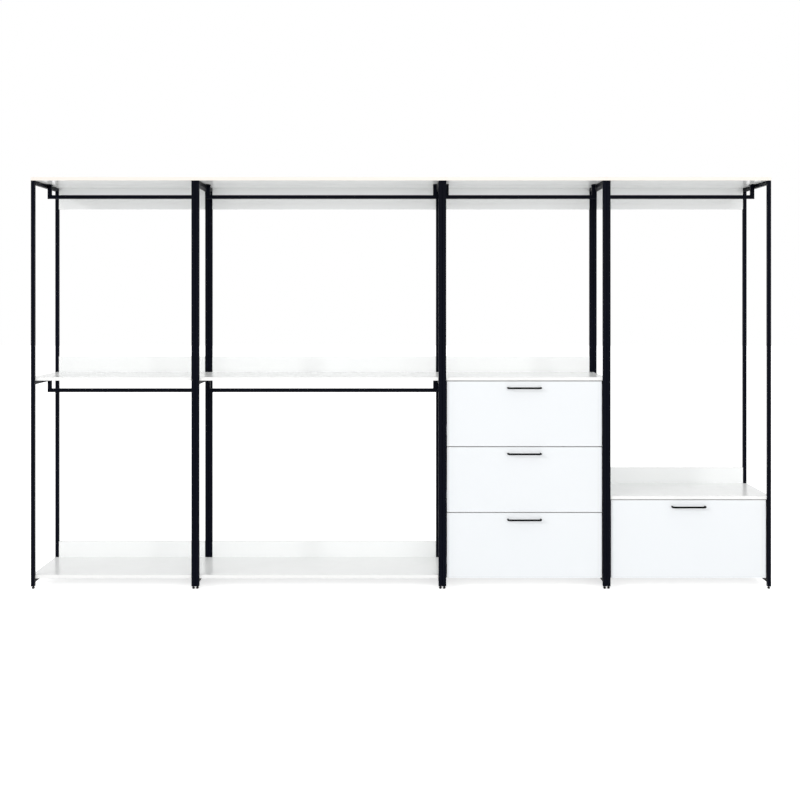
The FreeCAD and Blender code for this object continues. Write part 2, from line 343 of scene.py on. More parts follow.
@cache
def handling_marks() -> NodeTree:
    """Smears of hands and cloths, as a change of roughness.

    Returns:
        Group with inputs Polished, Smeared and Patch and the output Roughness.
    """
    group = SurfaceGroup("handling_marks", Polished=0.3, Smeared=0.4, Patch=9.0)
    noise = group.noise(group.source["Patch"], Detail=4.0, Distortion=0.6)
    levels = (group.source["Polished"], group.source["Smeared"])
    gloss = group.out("ShaderNodeMapRange", noise, *SMEAR_BAND, *levels)
    return group.give("Roughness", "NodeSocketFloat", gloss)


@dataclass(frozen=True)
class Finish:
    """Finish of a surface, built as one material.

    Colours are linear red, green and blue. Grain, patches and marks are counted per metre.
    """

    name: str
    slot: Slot
    tone: Triple
    shade: Triple
    roughness: tuple[float, float]
    grain: float
    relief: float
    stretch: Triple = (1.0, 1.0, 1.0)
    metallic: float = 0.0
    specular: float = 0.5
    patch: float = 2.0
    marks: float = 9.0

    def material(self) -> Material:
        """Material of this finish, made on first use."""
        return bpy.data.materials.get(self.name) or self.build()

    def build(self) -> Material:
        """Build the material from the shared groups.

        Returns:
            The new material.
        """
        material = bpy.data.materials.new(self.name)
        graph = Graph.of(material)
        tones = {"Tone": (*self.tone, 1.0), "Shade": (*self.shade, 1.0)}
        levels = dict(zip(("Polished", "Smeared"), self.roughness))
        height = graph.effect(fine_relief(), Grain=self.grain, Stretch=self.stretch)
        bump = {"Strength": 1.0, "Distance": self.relief, "Height": height}
        surface = {
            "Base Color": graph.effect(tone_drift(), Patch=self.patch, **tones),
            "Roughness": graph.effect(handling_marks(), Patch=self.marks, **levels),
            "Normal": graph.out("ShaderNodeBump", named=bump),
            "Metallic": self.metallic,
            "Specular IOR Level": self.specular,
        }
        graph.add("ShaderNodeOutputMaterial", graph.out("ShaderNodeBsdfPrincipled", named=surface))
        material.diffuse_color = (*self.tone, 1.0)
        return material


BOARD_FACE = Finish(
    "white_melamine", Slot.BOARD, tone=(0.922, 0.932, 0.927), shade=(0.912, 0.923, 0.92),
    roughness=(0.2, 0.25), grain=900.0, relief=0.008 * MM, specular=0.38,
)
BOARD_EDGE = Finish(
    "edge_band", Slot.BOARD, tone=(0.895, 0.897, 0.887), shade=(0.885, 0.888, 0.88),
    roughness=(0.29, 0.34), grain=700.0, relief=0.008 * MM, stretch=(0.02, 1.0, 1.0),
)
TOP_EDGE = Finish(
    "top_edge_band", Slot.BOARD, tone=(0.893, 0.832, 0.768), shade=(0.885, 0.823, 0.76),
    roughness=(0.29, 0.34), grain=700.0, relief=0.008 * MM, stretch=(0.02, 1.0, 1.0),
)
FRONT_FACE = Finish(
    "drawer_front_melamine", Slot.BOARD, tone=(0.834, 0.857, 0.876), shade=(0.825, 0.85, 0.87),
    roughness=(0.29, 0.34), grain=900.0, relief=0.008 * MM,
)
BOX_FACE = Finish(
    "drawer_box_melamine", Slot.BOARD, tone=(0.85, 0.855, 0.845), shade=(0.83, 0.835, 0.825),
    roughness=(0.35, 0.45), grain=800.0, relief=0.02 * MM,
)
POWDER_COAT = Finish(
    "black_powder_coat", Slot.STEEL, tone=(0.0008, 0.0014, 0.0048), shade=(0.0012, 0.002, 0.0066),
    roughness=(0.38, 0.46), grain=620.0, relief=0.05 * MM, specular=0.045,
)
HANDLE_COAT = Finish(
    "black_handle_coat", Slot.STEEL, tone=(0.002, 0.002, 0.0025), shade=(0.003, 0.003, 0.0035),
    roughness=(0.4, 0.5), grain=1500.0, relief=0.015 * MM, specular=0.03, marks=40.0,
)
SCREW_BLACK = Finish(
    "black_screw", Slot.STEEL, tone=(0.008, 0.008, 0.009), shade=(0.014, 0.014, 0.014),
    roughness=(0.3, 0.45), grain=1500.0, relief=0.02 * MM, specular=0.3,
)
ZINC = Finish(
    "zinc_plate", Slot.RUNNER, tone=(0.58, 0.6, 0.63), shade=(0.5, 0.52, 0.55), roughness=(0.29, 0.42),
    grain=900.0, relief=0.01 * MM, stretch=(1.0, 0.02, 1.0), metallic=1.0, patch=14.0, marks=30.0,
)
BALL_STEEL = Finish(
    "ball_steel", Slot.RUNNER, tone=(0.7, 0.71, 0.73), shade=(0.66, 0.67, 0.69),
    roughness=(0.08, 0.14), grain=600.0, relief=0.004 * MM, metallic=1.0,
)
FOOT_PLASTIC = Finish(
    "foot_moulding", Slot.PLASTIC, tone=(0.006, 0.006, 0.0065), shade=(0.009, 0.009, 0.01),
    roughness=(0.5, 0.62), grain=1800.0, relief=0.03 * MM, specular=0.15,
)


def link(name: str, data: bpy.types.ID) -> Object:
    """Put an object into the scene, at the origin.

    Args:
        name: Name of the object.
        data: Its mesh, light or camera.

    Returns:
        The new object.
    """
    linked = bpy.data.objects.new(name, data)
    bpy.context.scene.collection.objects.link(linked)
    return linked


def settle(piece: Object, body: str, slot: Slot, *nodes: str) -> None:
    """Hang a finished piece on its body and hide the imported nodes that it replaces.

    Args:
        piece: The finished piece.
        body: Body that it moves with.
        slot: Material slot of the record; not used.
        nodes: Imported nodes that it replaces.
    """
    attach(piece, body)
    if nodes:
        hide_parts(*nodes)
    log.info("%s rides on %s, %d vertices", piece.name, body, len(piece.data.vertices))


def rectangle(centre: Vector, across: Vector, up: Vector, width: float, height: float) -> Outline:
    """Corners of a rectangle in the plane of two unit vectors."""
    signs = ((1, 1), (-1, 1), (-1, -1), (1, -1))
    return [centre + across * (side * width / 2) + up * (level * height / 2) for side, level in signs]


def circle(centre: Vector, across: Vector, up: Vector, radius: float, sides: int) -> Outline:
    """Points of a circle in the plane of two unit vectors."""
    turns = [math.tau * index / sides for index in range(sides)]
    return [centre + (across * math.cos(turn) + up * math.sin(turn)) * radius for turn in turns]


def rounded(corners: Outline, radii: Sequence[float], steps: int) -> Outline:
    """Round the corners of an outline.

    Args:
        corners: Corners of a flat closed outline, in order.
        radii: Radius at each corner.
        steps: Stretches of each round corner.

    Returns:
        Points of the rounded outline.
    """
    points = []
    for index, (corner, radius) in enumerate(zip(corners, radii)):
        before = (corners[index - 1] - corner).normalized()
        after = (corners[(index + 1) % len(corners)] - corner).normalized()
        half = before.angle(after) / 2
        centre = corner + (before + after).normalized() * (radius / math.sin(half))
        first, last = (corner + way * (radius / math.tan(half)) - centre for way in (before, after))
        points += [centre + first.slerp(last, step / steps) * radius for step in range(steps + 1)]
    return points


def tube_outline(centre: Vector, across: Vector, up: Vector, size: float, inset: float = 0.0) -> Outline:
    """Outline of square tube in the plane of two unit vectors.

    Args:
        centre: Centre of the outline.
        across: First unit vector.
        up: Second unit vector.
        size: Outer size of the tube.
        inset: Distance of the outline from the outer faces.

    Returns:
        Points of the rounded outline.
    """
    width = size - 2 * inset
    corners = rectangle(centre, across, up, width, width)
    return rounded(corners, [TUBE_CORNER - inset] * len(corners), TUBE_CORNER_STEPS)


def bar_sections(path: Outline, bend: float, radius: float, sides: int, steps: int) -> list[Outline]:
    """Sections of a round bar along a flat path whose corners all turn one way.

    Args:
        path: Ends and corners of the centre line.
        bend: Radius of the centre line at each corner.
        radius: Radius of the bar.
        sides: Points of each section.
        steps: Stretches of each bend.

    Returns:
        One ring of points for each section.
    """
    heading = (path[1] - path[0]).normalized()
    normal = heading.cross(path[2] - path[1]).normalized()
    sections = [circle(path[0], normal, heading.cross(normal), radius, sides)]
    for corner, after in zip(path[1:], path[2:]):
        leaving = (after - corner).normalized()
        turn = heading.angle(leaving)
        centre = corner + (leaving - heading).normalized() * (bend / math.cos(turn / 2))
        for step in range(steps + 1):
            spoke = Matrix.Rotation(turn * step / steps, 3, normal) @ heading.cross(normal)
            sections.append(circle(centre + spoke * bend, normal, spoke, radius, sides))
        heading = leaving
    sections.append(circle(path[-1], normal, heading.cross(normal), radius, sides))
    return sections


def mitred_sections(path: Outline, profile: Outline) -> list[Outline]:
    """Sections of a bar along a flat path with mitred corners that all turn one way.

    Args:
        path: Ends and corners of the centre line.
        profile: Outline of the bar in X and Y.

    Returns:
        One ring of points for each end and mitre.
    """
    heading = (path[1] - path[0]).normalized()
    normal = heading.cross(path[2] - path[1]).normalized()
    spokes = [heading.cross(normal)]
    for corner, after in zip(path[1:], path[2:]):
        leaving = (after - corner).normalized()
        spokes.append((heading - leaving).normalized() / math.cos(heading.angle(leaving) / 2))
        heading = leaving
    spokes.append(heading.cross(normal))
    return [[at + normal * p.x + spoke * p.y for p in profile] for at, spoke in zip(path, spokes)]


class Solid:
    """Vertices and faces of one piece, gathered before its mesh is made."""

    def __init__(self) -> None:
        """Start with nothing."""
        self.points: list[Vector] = []
        self.faces: list[tuple[Sequence[int], int]] = []

    def ring(self, points: Outline) -> list[int]:
        """Add the points of a ring.

        Args:
            points: Points of a closed ring, in order.

        Returns:
            Their numbers.
        """
        start = len(self.points)
        self.points.extend(points)
        return list(range(start, len(self.points)))

    def band(self, first: list[int], second: list[int], tag: int = 0) -> None:
        """Join two closed rings of points with quads of one finish."""
        for corners in zip(first, first[1:] + first[:1], second[1:] + second[:1], second):
            self.faces.append((corners, tag))

    def loft(self, sections: Sequence[Outline], side_tag: int = 0) -> None:
        """Add a closed bar, with the first finish on both ends.

        Args:
            sections: Rings of points from one end to the other, of equal count.
            side_tag: Number of the finish on the sides.
        """
        rings = [self.ring(section) for section in sections]
        for first, second in zip(rings, rings[1:]):
            self.band(first, second, side_tag)
        self.faces += [(rings[0][::-1], 0), (rings[-1], 0)]

    def prism(self, outline: Outline, run: Vector, side_tag: int = 0) -> None:
        """Add a closed prism that runs on from its outline."""
        self.loft([outline, [point + run for point in outline]], side_tag)

    def board(self, block: Block) -> None:
        """Add a rectangular board, with the second finish on its narrow edges.

        Args:
            block: Place and size of the board.
        """
        thin, across, along = sorted(range(len(AXES)), key=lambda axis: block.size[axis])
        near = block.middle - AXES[thin] * (block.size[thin] / 2)
        outline = rectangle(near, AXES[across], AXES[along], block.size[across], block.size[along])
        self.prism(outline, AXES[thin] * block.size[thin], side_tag=1)

    def tube(self, outer: Outline, bore: Outline, run: Vector) -> None:
        """Add an open-ended tube.

        Args:
            outer: Outer outline of one end.
            bore: Inner outline of that end, with as many points.
            run: Vector to the other end.
        """
        far_outer, far_bore = ([point + run for point in outline] for outline in (outer, bore))
        rings = [self.ring(outline) for outline in (outer, far_outer, far_bore, bore)]
        for first, second in zip(rings, rings[1:] + rings[:1]):
            self.band(first, second)

    def piece(self, name: str, finishes: Sequence[Finish], crease: float = CREASE) -> Object:
        """Make the object of this piece, with faces outwards and soft corners smoothed.

        Args:
            name: Name of the piece.
            finishes: Finishes by the number used on the faces.
            crease: Edges that turn by more than this angle in degrees stay sharp.

        Returns:
            The new object.
        """
        mesh = bpy.data.meshes.new(name)
        mesh.from_pydata(self.points, [], [corners for corners, _ in self.faces])
        for finish in finishes:
            mesh.materials.append(finish.material())
        for polygon, (_, tag) in zip(mesh.polygons, self.faces):
            polygon.material_index = tag
        shape = bmesh.new()
        shape.from_mesh(mesh)
        bmesh.ops.recalc_face_normals(shape, faces=shape.faces)
        shape.to_mesh(mesh)
        shape.free()
        mesh.shade_smooth()
        mesh.set_sharp_from_angle(angle=math.radians(crease))
        return link(name, mesh)

    def hang(self, label: str, node: str, body: str, finish: Finish, crease: float = CREASE) -> None:
        """Make a piece of one finish, shade its flats evenly and hang it on its body.

        Args:
            label: What the name of the piece adds to the node's.
            node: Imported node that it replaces.
            body: Body that it moves with.
            finish: Its finish.
            crease: Edges that turn by more than this angle in degrees stay sharp.
        """
        piece = self.piece(f"{node}_{label}", [finish], crease)
        piece.modifiers.new("flats", "WEIGHTED_NORMAL").keep_sharp = True
        settle(piece, body, finish.slot, node)


class PartTree(NodeGroup):
    """Geometry Nodes tree that grows a small part on the points of a mesh."""

    def __init__(self, name: str, sizes: dict[str, float]) -> None:
        """Make the tree with the defaults of its sizes and counts."""
        inputs = {"Geometry": "NodeSocketGeometry", **sizes, "Finish": "NodeSocketMaterial"}
        super().__init__(name, "GeometryNodeTree", inputs)

    def point(self, height: object) -> NodeSocket:
        """Point at a height over the origin."""
        return self.out("ShaderNodeCombineXYZ", 0.0, 0.0, height)

    def lift(self, shape: NodeSocket, height: object) -> NodeSocket:
        """Shape raised by a height."""
        return self.out("GeometryNodeTransform", shape, named={"Translation": self.point(height)})

    def along(self) -> NodeSocket:
        """Share of the way along the curve, from 0 to 1."""
        return self.tree.nodes.new("GeometryNodeSplineParameter").outputs["Factor"]

    def ramp(self, start: object, end: object, first: object, last: object) -> NodeSocket:
        """Value that goes from first to last between two shares of the way along the curve."""
        return self.out("ShaderNodeMapRange", self.along(), start, end, first, last)

    def round_rectangle(self, width: str, height: str) -> NodeSocket:
        """Draw a rectangle with the tree's rounded corners.

        Args:
            width: Name of the input that holds its width.
            height: Name of the input that holds its height.

        Returns:
            The closed curve.
        """
        sides = (self.source[width], self.source[height])
        curve = self.out("GeometryNodeCurvePrimitiveQuadrilateral", *sides)
        named = {"Curve": curve, "Radius": self.source["Corner"], "Count": self.source["Corner Points"]}
        return self.out("GeometryNodeFilletCurve", named=named, mode="POLY")

    def column(
        self, profile: object, low: object, high: object, scale: object, rings: object
    ) -> NodeSocket:
        """Draw a profile up from one height to another.

        Args:
            profile: Outline of the column.
            low: Height of its lower end.
            high: Height of its upper end.
            scale: Scale of the profile, which may change on the way.
            rings: Number of sections.

        Returns:
            The closed column.
        """
        line = self.out("GeometryNodeCurvePrimitiveLine", self.point(low), self.point(high))
        fine = self.out("GeometryNodeResampleCurve", line, named={"Count": rings})
        named = {"Scale": scale, "Fill Caps": True}
        return self.out("GeometryNodeCurveToMesh", fine, profile, named=named)

    def join(self, *parts: NodeSocket) -> NodeSocket:
        """Join several parts.

        Args:
            parts: Geometry of each part.

        Returns:
            One geometry.
        """
        node = self.tree.nodes.new("GeometryNodeJoinGeometry")
        for part in parts:
            self.tree.links.new(part, node.inputs["Geometry"])
        return node.outputs["Geometry"]

    def close(self, shape: NodeSocket, spin_seed: NodeSocket | None = None) -> NodeTree:
        """Put the shape on every point, turned to the point's facing, and end the tree.

        Args:
            shape: The part to repeat, which stands up along Z.
            spin_seed: Seed for a random turn of each copy about its own axis, or None for none.

        Returns:
            The finished tree.
        """
        facing = self.out("GeometryNodeInputNamedAttribute", "facing", data_type="FLOAT_VECTOR")
        turned = self.out("FunctionNodeAlignRotationToVector", None, 1.0, facing, axis="Z")
        if spin_seed is not None:
            seed = {"Seed": spin_seed}
            angle = self.out("FunctionNodeRandomValue", 0.0, math.tau, named=seed, data_type="FLOAT")
            spin = self.out("FunctionNodeAxisAngleToRotation", tuple(Z_AXIS), angle)
            turned = self.out("FunctionNodeRotateRotation", turned, spin, rotation_space="LOCAL")
        named = {"Instance": shape, "Rotation": turned}
        copies = self.out("GeometryNodeInstanceOnPoints", self.source["Geometry"], named=named)
        real = self.out("GeometryNodeRealizeInstances", copies)
        dressed = self.out("GeometryNodeSetMaterial", real, named={"Material": self.source["Finish"]})
        return self.give("Geometry", "NodeSocketGeometry", dressed)


@cache
def screw_tree() -> NodeTree:
    """Domed screw heads with a cross recess.

    Returns:
        The tree, which also turns each head at random.
    """
    sizes = {
        "Head Diameter": 8 * MM,
        "Head Height": 2 * MM,
        "Dome Share": 0.8,
        "Sides": 16,
        "Rings": 3,
        "Recess Width": 1.2 * MM,
        "Recess Length": 4.6 * MM,
        "Recess Share": 1.2,
        "Seed": 7,
    }
    tree = PartTree("cross_screws", sizes)
    source = tree.source
    radius = tree.math("DIVIDE", source["Head Diameter"], 2.0)
    reach = tree.math("MULTIPLY", tree.along(), source["Dome Share"])
    dome = tree.math("SQRT", tree.math("SUBTRACT", 1.0, tree.math("MULTIPLY", reach, reach)))
    disc = tree.out("GeometryNodeCurvePrimitiveCircle", source["Sides"], named={"Radius": radius})
    cut = tree.add("GeometryNodeMeshBoolean", operation="DIFFERENCE", solver="EXACT")
    tree.feed(cut.inputs["Mesh 1"], tree.column(disc, 0.0, source["Head Height"], dome, source["Rings"]))
    depth = tree.math("MULTIPLY", source["Head Height"], source["Recess Share"])
    for plan in (("Recess Length", "Recess Width"), ("Recess Width", "Recess Length")):
        size = tree.out("ShaderNodeCombineXYZ", *(source[label] for label in plan), depth)
        arm = tree.out("GeometryNodeMeshCube", size)
        tree.feed(cut.inputs["Mesh 2"], tree.lift(arm, source["Head Height"]))
    return tree.close(cut.outputs["Mesh"], source["Seed"])


@cache
def foot_tree() -> NodeTree:
    """Levelling feet: a bevelled cap under the post, a threaded stem and a tapered pad.

    Returns:
        The tree. Each share is of the height or the width of its own part.
    """
    sizes = {
        "Post Size": 20 * MM,
        "Corner": TUBE_CORNER,
        "Corner Points": 4,
        "Foot Height": 16 * MM,
        "Cap Height": 3 * MM,
        "Cap Bevel Share": 0.4,
        "Cap Base Share": 0.88,
        "Cap Rings": 6,
        "Sides": 24,
        "Pad Diameter": 15 * MM,
        "Pad Height": 8 * MM,
        "Taper Share": 0.56,
        "Base Share": 0.667,
        "Lip Start Share": 0.88,
        "Lip Share": 0.9,
        "Pad Rings": 17,
        "Stem Diameter": 8 * MM,
        "Thread Depth Share": 0.14,
        "Thread Turns": 4.0,
        "Stem Rings": 25,
    }
    tree = PartTree("levelling_feet", sizes)
    source = tree.source
    top, pad_top = source["Foot Height"], source["Pad Height"]
    cap_low = tree.math("SUBTRACT", top, source["Cap Height"])
    square = tree.round_rectangle("Post Size", "Post Size")
    bevel = tree.ramp(0.0, source["Cap Bevel Share"], source["Cap Base Share"], 1.0)
    cap = tree.column(square, cap_low, top, bevel, source["Cap Rings"])
    disc = tree.out("GeometryNodeCurvePrimitiveCircle", source["Sides"], named={"Radius": 1.0})
    spread = tree.ramp(0.0, source["Taper Share"], source["Base Share"], 1.0)
    lip = tree.ramp(source["Lip Start Share"], 1.0, 1.0, source["Lip Share"])
    pad_radius = tree.math("DIVIDE", source["Pad Diameter"], 2.0)
    pad_scale = tree.math("MULTIPLY", pad_radius, tree.math("MULTIPLY", spread, lip))
    pad = tree.column(disc, 0.0, pad_top, pad_scale, source["Pad Rings"])
    # Each turn of the thread goes from its root to its crest and back
    turns = tree.math("MULTIPLY", tree.along(), source["Thread Turns"])
    ridge = tree.math("MULTIPLY", tree.math("PINGPONG", turns, 0.5), 2.0)
    groove = tree.math("MULTIPLY", tree.math("SUBTRACT", 1.0, ridge), source["Thread Depth Share"])
    stem_radius = tree.math("DIVIDE", source["Stem Diameter"], 2.0)
    stem_scale = tree.math("MULTIPLY", stem_radius, tree.math("SUBTRACT", 1.0, groove))
    stem = tree.column(disc, pad_top, cap_low, stem_scale, source["Stem Rings"])
    return tree.close(tree.join(cap, pad, stem))


@cache
def weld_tree() -> NodeTree:
    """Weld beads that run round the end of a tube, with a slight ripple.

    Returns:
        The tree, whose ripple is a share of the bead.
    """
    sizes = {
        "Width": 20 * MM,
        "Height": 20 * MM,
        "Corner": TUBE_CORNER,
        "Corner Points": 4,
        "Path Points": 56,
        "Bead": 1.1 * MM,
        "Bead Sides": 6,
        "Ripple": 0.16,
        "Pitch": 900.0,
        "Seed": 3.0,
    }
    tree = PartTree("weld_beads", sizes)
    source = tree.source
    rim = tree.round_rectangle("Width", "Height")
    path = tree.out("GeometryNodeResampleCurve", rim, named={"Count": source["Path Points"]})
    place = {"W": source["Seed"], "Scale": source["Pitch"]}
    noise = tree.out("ShaderNodeTexNoise", named=place, noise_dimensions="4D")
    swell = tree.math("MULTIPLY", tree.math("SUBTRACT", noise, 0.5), source["Ripple"])
    size = tree.math("MULTIPLY", source["Bead"], tree.math("ADD", 1.0, swell))
    section = tree.out("GeometryNodeCurvePrimitiveCircle", source["Bead Sides"], named={"Radius": 1.0})
    named = {"Scale": size, "Fill Caps": False}
    return tree.close(tree.out("GeometryNodeCurveToMesh", path, section, named=named))


@cache
def ball_tree() -> NodeTree:
    """Balls in their cage along a runner track, which lies along the facing.

    Returns:
        The tree.
    """
    sizes = {
        "Ball": 3.4 * MM,
        "Segments": 8,
        "Rings": 6,
        "Pitch": 7 * MM,
        "Balls": 26,
        "Cage Width": 5 * MM,
        "Cage Sheet": 0.6 * MM,
    }
    tree = PartTree("ball_cages", sizes)
    source = tree.source
    step = tree.point(source["Pitch"])
    line = tree.out("GeometryNodeMeshLine", source["Balls"], named={"Offset": step}, mode="OFFSET")
    radius = tree.math("DIVIDE", source["Ball"], 2.0)
    ball = tree.out("GeometryNodeMeshUVSphere", source["Segments"], source["Rings"], radius)
    smooth = tree.out("GeometryNodeSetShadeSmooth", ball)
    balls = tree.out("GeometryNodeInstanceOnPoints", line, named={"Instance": smooth})
    length = tree.math("MULTIPLY", source["Pitch"], source["Balls"])
    size = tree.out("ShaderNodeCombineXYZ", source["Cage Width"], source["Cage Sheet"], length)
    centre = tree.math("DIVIDE", tree.math("SUBTRACT", length, source["Pitch"]), 2.0)
    cage = tree.lift(tree.out("GeometryNodeMeshCube", size), centre)
    return tree.close(tree.join(balls, cage))


def grow(
    name: str, tree: NodeTree, spots: Sequence[Spot], finish: Finish, body: str, *nodes: str,
    **sizes: float,
) -> None:
    """Grow a part on each spot, make one plain mesh of them all and hang it on its body.

    Args:
        name: Name of the piece.
        tree: Tree that makes the part.
        spots: Where the parts go.
        finish: Finish of the part.
        body: Body that the parts move with.
        nodes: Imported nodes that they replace.
        sizes: Sizes that differ from the tree's own, by the input's name with underscores.
    """
    carrier_mesh = bpy.data.meshes.new(f"{name}_spots")
    carrier_mesh.from_pydata([spot.place for spot in spots], [], [])
    facing = carrier_mesh.attributes.new("facing", "FLOAT_VECTOR", "POINT")
    facing.data.foreach_set("vector", [part for spot in spots for part in spot.facing])
    carrier = link(f"{name}_spots", carrier_mesh)
    modifier = carrier.modifiers.new("grow", "NODES")
    modifier.node_group = tree
    inputs = {item.name: item.identifier for item in tree.interface.items_tree if item.in_out == "INPUT"}
    for label, value in sizes.items():
        modifier[inputs[label.replace("_", " ")]] = value
    modifier[inputs["Finish"]] = finish.material()
    graph = bpy.context.evaluated_depsgraph_get()
    mesh = bpy.data.meshes.new_from_object(carrier.evaluated_get(graph), depsgraph=graph)
    mesh.name = name
    carrier.modifiers.clear()
    bpy.data.objects.remove(carrier)
    for label in SPARE_ATTRIBUTES & set(mesh.attributes.keys()):
        mesh.attributes.remove(mesh.attributes[label])
    mesh.set_sharp_from_angle(angle=math.radians(SMALL_PART_CREASE))
    settle(link(name, mesh), body, finish.slot, *nodes)


class Screw(Enum):
    """Kinds of screw by where they go: finish, head diameter and head height."""

    RAIL = (SCREW_BLACK, 8 * MM, 2 * MM)
    ROD = (SCREW_BLACK, 8 * MM, 1.2 * MM)
    FRONT = (ZINC, 8 * MM, 2 * MM)
    BOX = (ZINC, 7 * MM, 1.4 * MM)
    BACK = (ZINC, 7 * MM, 1.6 * MM)

    def drive(self, name: str, spots: Sequence[Spot], body: str = CLOSET) -> None:
        """Put a screw of this kind on each spot."""
        finish, diameter, height = self.value
        grow(name, screw_tree(), spots, finish, body, Head_Diameter=diameter, Head_Height=height)


@dataclass
class SideFrame:
    """Welded side frame of a bay: two posts and three rails of square tube."""

    bay: Bay
    side: Side
    wall: float = 1.5 * MM
    screw_inset_share: float = 0.2

    @property
    def node(self) -> str:
        """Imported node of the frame."""
        return self.bay.node(f"{self.side.value}_frame")

    @property
    def box(self) -> Block:
        """Box of the frame."""
        return Block.of(self.node)

    @property
    def size(self) -> float:
        """Outer size of the tube."""
        return self.box.size.x

    def line(self, inset: float, levels: Sequence[float], facing: Vector) -> list[Spot]:
        """Spots at an inset from the front and then from the rear, at each level."""
        ends = (self.box.low.y + inset, self.box.high.y - inset)
        return [Spot(Vector((self.box.middle.x, y, level)), facing) for level in levels for y in ends]

    def feet(self) -> list[Spot]:
        """Floor point under each post."""
        return self.line(self.size / 2, [0.0], Z_AXIS)

    def rail_levels(self) -> list[float]:
        """Centre heights of the three rails, each under its shelf."""
        shelves = ("bottom_shelf", self.bay.shelf, "top_shelf")
        return [self.bay.box(shelf).low.z - self.size / 2 for shelf in shelves]

    def rail_ends(self) -> list[Spot]:
        """Where each rail meets its posts, facing along the rail."""
        return self.line(self.size, self.rail_levels(), Y_AXIS)

    def rail_screws(self) -> list[Spot]:
        """Screws up through each rail into its shelf, facing down."""
        under = [level - self.size / 2 for level in self.rail_levels()]
        return self.line(self.box.size.y * self.screw_inset_share, under, -Z_AXIS)

    def build(self) -> None:
        """Build the tubes of the frame as one piece."""
        solid, box = Solid(), self.box
        rail = Y_AXIS * (box.size.y - 2 * self.size)
        tubes = [(foot.place + Z_AXIS * box.low.z, Y_AXIS, Z_AXIS * box.size.z) for foot in self.feet()]
        tubes += [(front.place, Z_AXIS, rail) for front in self.rail_ends()[::2]]
        for start, up, run in tubes:
            outer = tube_outline(start, X_AXIS, up, self.size)
            bore = tube_outline(start, X_AXIS, up, self.size, self.wall)
            solid.tube(outer, bore, run)
        solid.hang("tubes", self.node, CLOSET, POWDER_COAT)


@dataclass
class Boards:
    """Coated boards with banded edges."""

    edge_radius: float = 0.9 * MM
    edge_segments: int = 3
    fit_clearance: float = 0.3 * MM
    back_height: float = 118 * MM
    upstand: float = 87 * MM

    def hang(self, solid: Solid, label: str, node: str, body: str, finishes: Sequence[Finish]) -> None:
        """Make a piece of boards, soften its edges and hang it on its body.

        Args:
            solid: Shape of the boards.
            label: What the name of the piece adds to the node's.
            node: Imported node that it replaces.
            body: Body that it moves with.
            finishes: Finish of the large faces and of the narrow edges.
        """
        piece = solid.piece(f"{node}_{label}", finishes)
        bevel = piece.modifiers.new("edges", "BEVEL")
        bevel.width = self.edge_radius
        bevel.segments = self.edge_segments
        bevel.limit_method = "ANGLE"
        bevel.angle_limit = math.radians(BEVEL_FROM)
        bevel.harden_normals = True
        settle(piece, body, Slot.BOARD, node)

    def flat(self, node: str, body: str, blocks: Sequence[Block], *finishes: Finish) -> None:
        """Build rectangular boards as one piece.

        Args:
            node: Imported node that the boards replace.
            body: Body that they move with.
            blocks: Place and size of each board.
            finishes: Finish of the large faces and of the narrow edges, if not the usual ones.
        """
        solid = Solid()
        for block in blocks:
            solid.board(block)
        self.hang(solid, "boards", node, body, finishes or (BOARD_FACE, BOARD_EDGE))

    def shelf(self, bay: Bay, part: str) -> None:
        """Build a shelf that is cut out round the posts which its corners meet.

        Args:
            bay: Bay that holds the shelf.
            part: Name of the shelf within the bay.
        """
        box, side_frame = bay.box(part), SideFrame(bay, Side.LEFT)
        post, cut = side_frame.box, side_frame.size + self.fit_clearance
        reach = post.low.x + cut - box.low.x
        front_cut, back_cut = post.low.y + cut, post.high.y - cut
        plan = []
        for x, inward in ((box.low.x, 1), (box.high.x, -1)):
            notch = x + inward * reach
            edge = [(x, box.low.y)]
            if box.low.y <= front_cut:
                edge = [(notch, box.low.y), (notch, front_cut), (x, front_cut)]
            edge += [(x, back_cut), (notch, back_cut), (notch, box.high.y)]
            plan += edge[::inward]
        solid = Solid()
        solid.prism([Vector((x, y, box.low.z)) for x, y in plan], Z_AXIS * box.size.z, side_tag=1)
        self.hang(solid, "board", bay.node(part), CLOSET, (BOARD_FACE, BOARD_EDGE))

    def back_boards(self, bay: Bay) -> None:
        """Build the back boards of a bay, flush with the rear of its posts.

        Args:
            bay: Bay that holds the boards.
        """
        box = bay.box("back_boards")
        tops = [box.high.z, bay.box(bay.shelf).high.z + self.upstand]
        if not bay.drawers:
            tops.append(bay.box("bottom_shelf").high.z + self.upstand)
        across, deep = (box.low.x, box.high.x), (box.low.y, box.high.y)
        blocks = [Block.span(across, deep, (top - self.back_height, top)) for top in tops]
        self.flat(bay.node("back_boards"), CLOSET, blocks)


